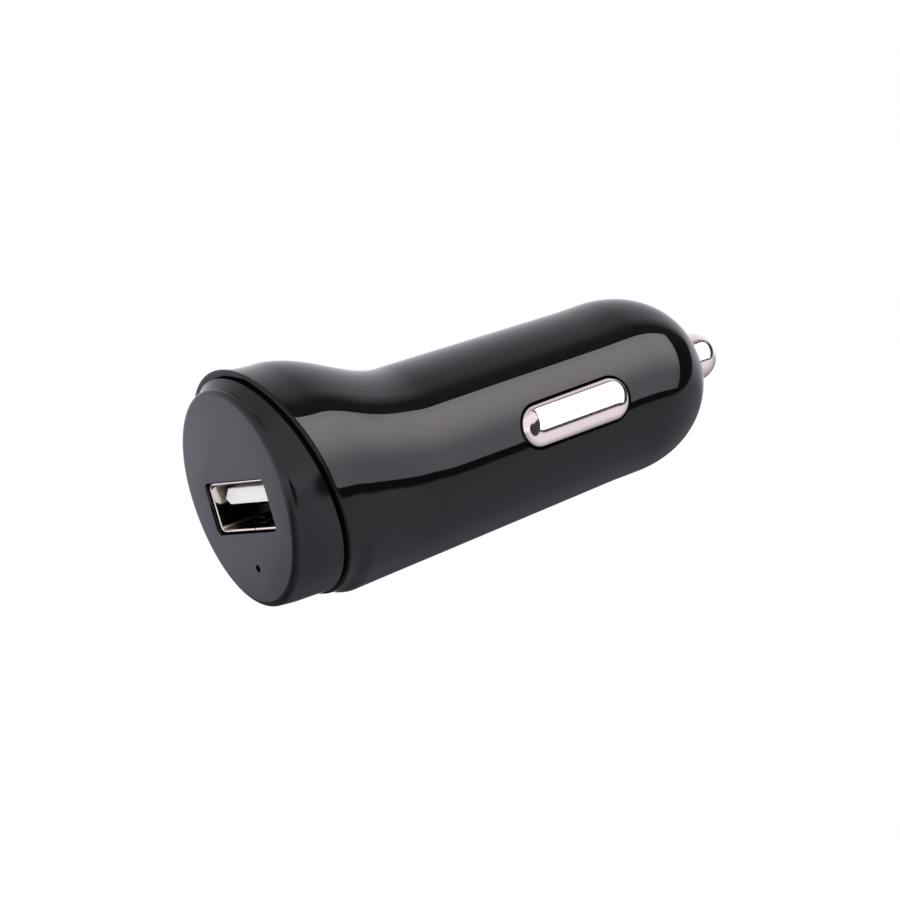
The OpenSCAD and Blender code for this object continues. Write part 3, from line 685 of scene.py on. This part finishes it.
surface(tree, {
    "Base Color": tint, "Roughness": rough, "IOR": 1.5, "Specular IOR Level": 0.38, "Normal": pit})
finished(cap, "housing", "face_cap", satin)


# USB receptacle shell.
# Nickel-plated steel sheet, 0.3 mm, folded into a box with its seam in the floor. Its rim is
# rounded by the press, and six tongues cut from its walls are bent in to grip the plug.
SHELL_RECESS = 0.4
SHELL_LEN = 13.9
SHELL_TO = SHELL_RECESS + SHELL_LEN
RIM_SOFT = 0.13
FINGER_W = 1.9
FINGER_IN = 0.45
FINGER_T = 0.24
FINGER_TIP = SHELL_RECESS + 3.4
FINGER_KNEE = FINGER_TIP + 1.1
FINGER_ROOT = FINGER_KNEE + 4.2
FINGER_GAP = 0.35
FINGER_SOFT = 0.5
SEAM_X = 1.2
SEAM_W = 0.2
BOARD_LOW = PORT_Z - SHELL_H / 2 - 1.6
LEG_W = 2.0
LEG_PAST = 0.6
LEG_Y = SHELL_TO - 3.4
LEG_X = (SHELL_W - SHELL_T) / 2

bm = bar(SHELL_W, SHELL_H, SHELL_ROUND, SHELL_RECESS, SHELL_TO, 8)
bmesh.ops.delete(bm, geom=[f for f in bm.faces if abs(f.normal.y) > 0.9], context="FACES_ONLY")
bmesh.ops.recalc_face_normals(bm, faces=bm.faces)
bmesh.ops.solidify(bm, geom=bm.faces[:], thickness=SHELL_T)
rim = [e for e in bm.edges if len(e.link_faces) == 2 and e.calc_face_angle() > 1.0]
rounded(bm, rim, RIM_SOFT, 3)
bmesh.ops.translate(bm, vec=(0, 0, PORT_Z), verts=bm.verts)
port = as_piece("port_shell", bm)


def wall_places():
    """Places of the gripping tongues: two above, two below and one at each side."""
    for turn, across, out in (
            (0, -1, 0), (0, 1, 0), (180, -1, 0), (180, 1, 0), (90, 0, 1), (270, 0, 1)):
        reach = SHELL_W / 2 if out else SHELL_H / 2
        yield (Matrix.Translation((0, 0, PORT_Z)) @ Matrix.Rotation(math.radians(turn), 4, "Y")
               @ Matrix.Translation((across * MOUTH_W / 4, 0, reach)))


def join(piece, other):
    """Adds the mesh of another piece to a piece and deletes the other."""
    bm = bmesh.new()
    bm.from_mesh(piece.data)
    bm.from_mesh(other.data)
    bm.to_mesh(piece.data)
    bm.free()
    bpy.data.meshes.remove(other.data)


slots = []
fingers = bmesh.new()
for number, place in enumerate(wall_places()):
    bm = bmesh.new()
    box(bm, (FINGER_W + 2 * FINGER_GAP, FINGER_ROOT - FINGER_TIP + FINGER_GAP, 3 * SHELL_T),
        (0, (FINGER_ROOT + FINGER_TIP - FINGER_GAP) / 2, -SHELL_T / 2))
    bmesh.ops.transform(bm, matrix=place, verts=bm.verts)
    slots.append(as_piece(f"tongue_slot_{number}", bm))
    deep = -SHELL_T - FINGER_IN
    path = ((FINGER_TIP, deep + FINGER_T), (FINGER_KNEE, deep), (FINGER_ROOT, -SHELL_T),
            (FINGER_ROOT + 2 * FINGER_GAP, -SHELL_T))
    chain = [fingers.verts.new((-FINGER_W / 2, y, z)) for y, z in path]
    strip = [fingers.edges.new(pair) for pair in zip(chain, chain[1:])]
    made = corners(bmesh.ops.extrude_edge_only(fingers, edges=strip)["geom"])
    bmesh.ops.translate(fingers, vec=(FINGER_W, 0, 0), verts=made)
    verts = chain + made
    knee = [e for v in verts for e in v.link_edges if len(e.link_faces) == 2]
    bmesh.ops.transform(fingers, matrix=place, verts=verts)
    rounded(fingers, list(set(knee)), FINGER_SOFT, 5)
bm = bmesh.new()
box(bm, (SEAM_W, 3 * SHELL_LEN, 3 * SHELL_T), (SEAM_X, SHELL_TO / 2, PORT_Z - SHELL_H / 2))
slots.append(as_piece("seam_slot", bm))
cut(port, slots)

bmesh.ops.solidify(fingers, geom=fingers.faces[:], thickness=FINGER_T)
leg_low = BOARD_LOW - LEG_PAST
for side in (-1, 1):
    box(fingers, (SHELL_T, LEG_W, PORT_Z - leg_low), (side * LEG_X, LEG_Y, (PORT_Z + leg_low) / 2))
join(port, as_piece("port_tongues", fingers))

# Bright nickel plate on pressed steel: fine drawing lines along the sheet under a slight haze,
# and a warm cast. Its colour darkens from the mouth of the port inwards, which is painted shade.
NICKEL_COLOUR = "#e9dfd6"
PAINTED_SHADE_COLOUR = "#67635a"
# In metres along the plug: where the painted shade begins and is whole, and where the port ends.
PAINTED_SHADE_FROM = -0.0479
PAINTED_SHADE_TO = -0.0462
PORT_END = -0.03
DRAWN_MM = 0.12
HAZE_MM = 0.6
nickel, tree, spot = blank("bright_nickel_plate")
along = add(tree, "ShaderNodeMapping", {"Vector": spot, "Scale": (1.0, 0.03, 1.0)})
drawn = noise(tree, along.outputs["Vector"], size=DRAWN_MM, detail=2.0)
haze = noise(tree, spot, size=HAZE_MM, detail=3.0)
dull = dulled(tree, haze, least=0.07, most=0.10)
lines = bump(tree, drawn, strength=0.12, distance=0.000003)
depth = add(tree, "ShaderNodeSeparateXYZ", {"Vector": spot}).outputs["Y"]
inwards = spread(tree, depth, PAINTED_SHADE_FROM, PAINTED_SHADE_TO)
in_port = maths(tree, "LESS_THAN", depth, PORT_END)
deep = maths(tree, "MULTIPLY", inwards, in_port)
# Painted shade: the plate's colour darkens from the mouth of the port inwards.
tint = shades(tree, deep, NICKEL_COLOUR, PAINTED_SHADE_COLOUR)
surface(tree, {
    "Base Color": tint, "Metallic": 1.0, "Roughness": dull, "Normal": lines})
finished(port, "housing", "usb_shell", nickel)


# USB tongue.
# White glass-filled nylon: a block that closes the back of the shell and a thin tongue with
# pointed side edges. Its four gilt contacts lie in slots in its lower face.
TONGUE_SIDE = 0.7
TONGUE_W = MOUTH_W - 2 * TONGUE_SIDE
TONGUE_T = 1.84
TONGUE_GAP = 0.66
TONGUE_POINT = 1.2
UNDER_POINT = 0.7 * TONGUE_POINT
TONGUE_INTO = 0.5
TONGUE_FROM = SHELL_RECESS + 1.1
TONGUE_Z = PORT_Z + MOUTH_H / 2 - TONGUE_GAP - TONGUE_T / 2
TONGUE_SOFT = 0.12
BLOCK_FROM = SHELL_TO - 3.9
BLADE_W = 1.0
BLADE_T = 0.3
BLADE_Z = TONGUE_Z - TONGUE_T / 2 + BLADE_T / 2 - 0.1
BLADE_FROM = TONGUE_FROM + 1.0
BLADE_X = (3.5, 1.0, -1.0, -3.5)
SEAT = 0.05
BLOCK_SOFT = 0.4


def slotted(piece):
    """Cuts the slots of the four contacts out of a piece."""
    slots = []
    for number, x in enumerate(BLADE_X):
        bm = bmesh.new()
        box(bm, (BLADE_W + SEAT, 2 * SHELL_LEN, BLADE_T + SEAT),
            (x, BLADE_FROM + SHELL_LEN, BLADE_Z))
        slots.append(as_piece(f"blade_slot_{number}", bm))
    cut(piece, slots)


bm = bmesh.new()
half, high = TONGUE_W / 2, TONGUE_T / 2
profile = ((half - TONGUE_POINT, high), (half, -high / 4), (half - UNDER_POINT, -high))
profile += tuple((-x, z) for x, z in profile[::-1])
chain = [bm.verts.new((x, TONGUE_FROM, z)) for x, z in profile]
made = bmesh.ops.contextual_create(bm, geom=chain)["faces"]
made = bmesh.ops.extrude_face_region(bm, geom=made)["geom"]
bmesh.ops.translate(bm, vec=(0, BLOCK_FROM + TONGUE_INTO - TONGUE_FROM, 0), verts=corners(made))
hidden = BLOCK_FROM + TONGUE_INTO - TONGUE_SOFT
rounded(bm, [e for e in bm.edges if e.verts[0].co.y + e.verts[1].co.y < 2 * hidden], TONGUE_SOFT, 3)
bmesh.ops.translate(bm, vec=(0, 0, TONGUE_Z), verts=bm.verts)
tongue = as_piece("port_tongue", bm)
slotted(tongue)
bm = bar(MOUTH_W - 2 * SEAT, MOUTH_H - 2 * SEAT, BLOCK_SOFT, BLOCK_FROM, SHELL_TO, 4)
bmesh.ops.translate(bm, vec=(0, 0, PORT_Z), verts=bm.verts)
block = as_piece("port_block", bm)
slotted(block)
join(tongue, block)

# White glass-filled nylon: faintly mottled by its fibres, with a low sheen and a fine tool grain.
FLECK_MM = 0.4
white, tree, spot = blank("glass_filled_nylon")
fleck = noise(tree, spot, size=FLECK_MM, detail=3.0)
tint = shades(tree, fleck, "#fcfbfb", "#f3f0f0")
tool = bump(tree, fleck, strength=0.2, distance=0.00001)
surface(tree, {"Base Color": tint, "Roughness": 0.42, "Normal": tool})
finished(tongue, "housing", "usb_insulator", white)


# USB contacts.
# Four phosphor bronze blades with a flash of gold, pressed into the tongue. They keep their CAD
# shape, and their ends are bent down into the board.
gilt, tree, spot = blank("flash_gold_on_bronze")
rub = noise(tree, spot, size=0.5, detail=3.0)
worn = shades(tree, rub, "#e9c268", "#d3a65a")
dull = dulled(tree, rub, least=0.16, most=0.30)
surface(tree, {"Base Color": worn, "Metallic": 1.0, "Roughness": dull})


def dress(material, *names):
    """Gives CAD nodes that keep their shape their material."""
    for name in names:
        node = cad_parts[name]
        node.data.materials.clear()
        node.data.materials.append(material)


dress(gilt, "usb_contact_supply", "usb_contact_data_minus", "usb_contact_data_plus",
      "usb_contact_ground")


# Side contacts.
# Two obround shoes, drawn from nickel-plated steel sheet with a crown and a soft shoulder. Their
# flange stays inside the wall of the barrel, and each can be pressed in against its leaf arm.
SHOE_PROUD = 0.8
SHOE_BOW = 4.8
SHOE_ROUND = 1.3
SHOE_T = 0.4
CROWN_STEPS = 9
SHOULDER_STEPS = 7
FLANGE_W = 0.88
FLANGE_FIT = 0.15
FLANGE_SOFT = 0.15
FLANGE_R = SHOE_R + FLANGE_W
SHOE_SPAN = SHOE_LEN - 2 * SHOE_R
SHOE_TOP = barrel_r(SHOE_AT) + SHOE_PROUD
WALL_INSIDE = barrel_r(SHOE_AT + SHOE_SPAN / 2 + FLANGE_R) - WALL
FLANGE_X = math.sqrt((WALL_INSIDE - FLANGE_FIT) ** 2 - FLANGE_R ** 2)
SHOULDER = math.asin((SHOE_R - SHOE_ROUND) / (SHOE_BOW - SHOE_ROUND))


def stadium(side, out, radius):
    """Ring round the middle line of a shoe, at a distance from the axis of the plug."""
    def point(turn):
        end = SHOE_SPAN / 2 if math.sin(turn) >= 0 else -SHOE_SPAN / 2
        return side * out, SHOE_AT + end + radius * math.sin(turn), radius * math.cos(turn)
    return point


def crown(deep):
    """Crown and shoulder, drawn in by a depth: radius and distance from the axis of the plug."""
    low = SHOE_TOP - SHOE_BOW
    foot = low + (SHOE_BOW - SHOE_ROUND) * math.cos(SHOULDER)
    steps = []
    for k in range(CROWN_STEPS + 1):
        bend = SHOULDER * k / CROWN_STEPS
        steps.append(((SHOE_BOW - deep) * math.sin(bend), low + (SHOE_BOW - deep) * math.cos(bend)))
    for k in range(1, SHOULDER_STEPS + 1):
        bend = SHOULDER + (math.pi / 2 - SHOULDER) * k / SHOULDER_STEPS
        steps.append((SHOE_R - SHOE_ROUND + (SHOE_ROUND - deep) * math.sin(bend),
                      foot + (SHOE_ROUND - deep) * math.cos(bend)))
    return steps


steps = crown(0.0) + [
    (SHOE_R, FLANGE_X + FLANGE_SOFT), (SHOE_R + FLANGE_SOFT, FLANGE_X), (FLANGE_R, FLANGE_X),
    (FLANGE_R, FLANGE_X - SHOE_T), (SHOE_R - SHOE_T, FLANGE_X - SHOE_T)] + crown(SHOE_T)[::-1]
for side, node, body_name in (
        (1, "contact_right", "right_contact"), (-1, "contact_left", "left_contact")):
    bm = loft([stadium(side, out, radius) for radius, out in steps], "open")
    shoe = as_piece(f"{node}_shoe", bm)
    finished(shoe, body_name, node, nickel)


# Tip pin.
# Turned brass, polished and nickel plated, with a round head. A collar keeps it in the nose, and
# a short stem behind the collar centres the spring.
PIN_REACH = 4.08
COLLAR_R = 4.5
COLLAR_T = 1.0
COLLAR_GAP = 0.15
COLLAR_SOFT = 0.1
COIL_R = 2.25
COIL_WIRE = 0.5
COLLAR_Y = stop_y - COLLAR_GAP
STEM_FIT = 0.3
STEM_R = COIL_R - COIL_WIRE / 2 - STEM_FIT
STEM_LEN = 3.0
STEM_SOFT = 0.3
DOME_STEPS = 32
HEAD_Y = NOSE_FROM + NOSE_LEN + PIN_REACH - PIN_R

spring_to = COLLAR_Y - COLLAR_T
stem_from = spring_to - STEM_LEN
profile = [
    (0, stem_from), (STEM_R - STEM_SOFT, stem_from), (STEM_R, stem_from + STEM_SOFT),
    (STEM_R, spring_to), (COLLAR_R - COLLAR_SOFT, spring_to), (COLLAR_R, spring_to + COLLAR_SOFT),
    (COLLAR_R, COLLAR_Y - COLLAR_SOFT), (COLLAR_R - COLLAR_SOFT, COLLAR_Y), (PIN_R, COLLAR_Y)]
for k in range(DOME_STEPS + 1):
    bend = math.pi / 2 * k / DOME_STEPS
    profile.append((PIN_R * math.cos(bend), HEAD_Y + PIN_R * math.sin(bend)))
bm = bmesh.new()
chain = [bm.verts.new((radius, y, 0)) for radius, y in profile]
strip = [bm.edges.new(pair) for pair in zip(chain, chain[1:])]
bmesh.ops.spin(bm, geom=chain + strip, cent=(0, 0, 0), axis=(0, 1, 0), angle=math.tau,
               steps=128, use_merge=True)
pin = as_piece("tip_pin_turning", bm)

# The same plate on a turned part: the tool's fine rings show in it instead of drawing lines.
RING_MM = 0.09
turned_nickel, tree, spot = blank("turned_nickel_plate")
across = add(tree, "ShaderNodeMapping", {"Vector": spot, "Scale": (0.02, 1.0, 0.02)})
tooled = noise(tree, across.outputs["Vector"], size=RING_MM, detail=2.0)
haze = noise(tree, spot, size=HAZE_MM, detail=3.0)
dull = dulled(tree, haze, least=0.08, most=0.12)
lines = bump(tree, tooled, strength=0.1, distance=0.000003)
surface(tree, {
    "Base Color": linear(NICKEL_COLOUR), "Metallic": 1.0, "Roughness": dull, "Normal": lines})
finished(pin, "tip", "tip_pin", turned_nickel)


# Springs.
# The tip's coil of plated spring wire and the leaf arms behind the side contacts, cut from spring
# strip and soldered to the board. All keep their CAD shape.
steel, tree, spot = blank("plated_spring_steel")
temper = noise(tree, spot, size=1.5, detail=4.0)
tint = shades(tree, temper, "#c9c7c2", "#aaa69d")
dull = dulled(tree, temper, least=0.2, most=0.34)
surface(tree, {"Base Color": tint, "Metallic": 1.0, "Roughness": dull})
dress(steel, "tip_spring", "contact_arm_right", "contact_arm_left")

# Tip terminal.
# A cup pressed from brass sheet, soldered to the tail of the board, in which the spring stands.
brass, tree, spot = blank("pressed_brass_sheet")
tarnish = noise(tree, spot, size=1.2, detail=4.0)
tint = shades(tree, tarnish, "#d9b868", "#b98f4a")
dull = dulled(tree, tarnish, least=0.2, most=0.42)
surface(tree, {"Base Color": tint, "Metallic": 1.0, "Roughness": dull})
dress(brass, "tip_terminal")


# Circuit board.
# Glass epoxy under green solder mask: the weave shows as a faint grid in relief, and the mask is a
# little darker where it lies thick.
WEAVE_MM = 0.55
board, tree, spot = blank("green_solder_mask")
warp = add(tree, "ShaderNodeTexWave", {
    "Vector": spot, "Scale": 1000 / WEAVE_MM / math.tau, "Distortion": 0.4},
    bands_direction="X")
weft = add(tree, "ShaderNodeTexWave", {
    "Vector": spot, "Scale": 1000 / WEAVE_MM / math.tau, "Distortion": 0.4},
    bands_direction="Y")
weave = maths(tree, "MULTIPLY", warp.outputs["Fac"], weft.outputs["Fac"])
pool = noise(tree, spot, size=2.5, detail=3.0)
tint = shades(tree, pool, "#1e6b36", "#124a25")
relief = bump(tree, weave, strength=0.3, distance=0.00001)
surface(tree, {"Base Color": tint, "Roughness": 0.3, "Normal": relief})
dress(board, "circuit_board")

# Controller, diode and chip resistors.
# Black epoxy moulded round their lead frames, with a fine matt grain from the mould.
epoxy, tree, spot = blank("moulded_black_epoxy")
grain = noise(tree, spot, size=0.12, detail=2.0)
tint = shades(tree, grain, "#232326", "#303033")
pit = bump(tree, grain, strength=0.4, distance=0.00001)
surface(tree, {"Base Color": tint, "Roughness": 0.55, "Normal": pit})
dress(epoxy, "controller_chip", "rectifier_diode", "chip_resistors")

# Inductor core.
# Sintered ferrite, ground flat: dark grey, granular and dull.
ferrite, tree, spot = blank("sintered_ferrite")
cells = add(tree, "ShaderNodeTexVoronoi", {"Vector": spot, "Scale": 1000 / 0.14})
tint = shades(tree, cells.outputs["Distance"], "#3a3a3d", "#4b4a4c")
pit = bump(tree, cells.outputs["Distance"], strength=0.5, distance=0.00001)
surface(tree, {"Base Color": tint, "Roughness": 0.62, "Normal": pit})
dress(ferrite, "inductor_core")

# Inductor winding.
# Enamelled copper wire: clear orange varnish over metal, with fine lines round the turns.
enamel, tree, spot = blank("enamelled_copper")
round_it = add(tree, "ShaderNodeMapping", {"Vector": spot, "Scale": (0.05, 0.05, 1.0)})
turns = noise(tree, round_it.outputs["Vector"], size=0.15, detail=2.0)
tint = shades(tree, turns, "#c4703a", "#a5521f")
lines = bump(tree, turns, strength=0.3, distance=0.00001)
surface(tree, {
    "Base Color": tint, "Metallic": 0.9, "Roughness": 0.28, "Coat Weight": 0.6,
    "Coat Roughness": 0.08, "Normal": lines})
dress(enamel, "inductor_winding")

# Capacitors that lie on the board.
# Aluminium cans in a shrunk dark blue sleeve, which leaves the metal of both ends bare.
sleeve, tree, spot = blank("sleeved_aluminium_can")
shape = add(tree, "ShaderNodeNewGeometry")
towards_end = add(tree, "ShaderNodeVectorMath", {0: shape.outputs["True Normal"], 1: (0, 1, 0)},
                  operation="DOT_PRODUCT")
flat = maths(tree, "ABSOLUTE", towards_end.outputs["Value"])
bare = maths(tree, "GREATER_THAN", flat, 0.95)
shrink = noise(tree, spot, size=1.8, detail=2.0)
crinkle = bump(tree, shrink, strength=0.2, distance=0.00003)
tint = shades(tree, bare, "#1d2756", "#c4c6c9")
surface(tree, {
    "Base Color": tint, "Metallic": bare, "Roughness": 0.3, "Normal": crinkle})
dress(sleeve, "input_capacitor", "output_capacitor")

# Fuse and chip capacitors.
# Small ceramic blocks, glazed pale on the fuse and fired tan on the capacitors, both speckled.
for name, light, dark, sheen, node in (
        ("glazed_pale_ceramic", "#e4e2d8", "#d5d1c4", 0.18, "fuse"),
        ("fired_tan_ceramic", "#b99672", "#a17f5c", 0.45, "chip_capacitors")):
    fired, tree, spot = blank(name)
    speckle = noise(tree, spot, size=0.2, detail=4.0)
    tint = shades(tree, speckle, light, dark)
    surface(tree, {"Base Color": tint, "Roughness": sheen})
    dress(fired, node)

# Lamp.
# A small domed lamp behind the hole in the face, cast in red-tinted clear resin, on tinned steel
# leads that are bent up into the board.
resin, tree, spot = blank("tinted_lamp_resin")
cloud = noise(tree, spot, size=1.5, detail=2.0)
tint = shades(tree, cloud, "#e8796c", "#d4584b")
surface(tree, {"Base Color": tint, "Roughness": 0.06, "IOR": 1.55, "Transmission Weight": 0.6})
dress(resin, "indicator_lamp")

tinned, tree, spot = blank("tinned_steel_wire")
dip = noise(tree, spot, size=0.8, detail=3.0)
dull = dulled(tree, dip, least=0.22, most=0.4)
surface(tree, {"Base Color": linear("#c6c5c2"), "Metallic": 1.0, "Roughness": dull})
dress(tinned, "lamp_leads")
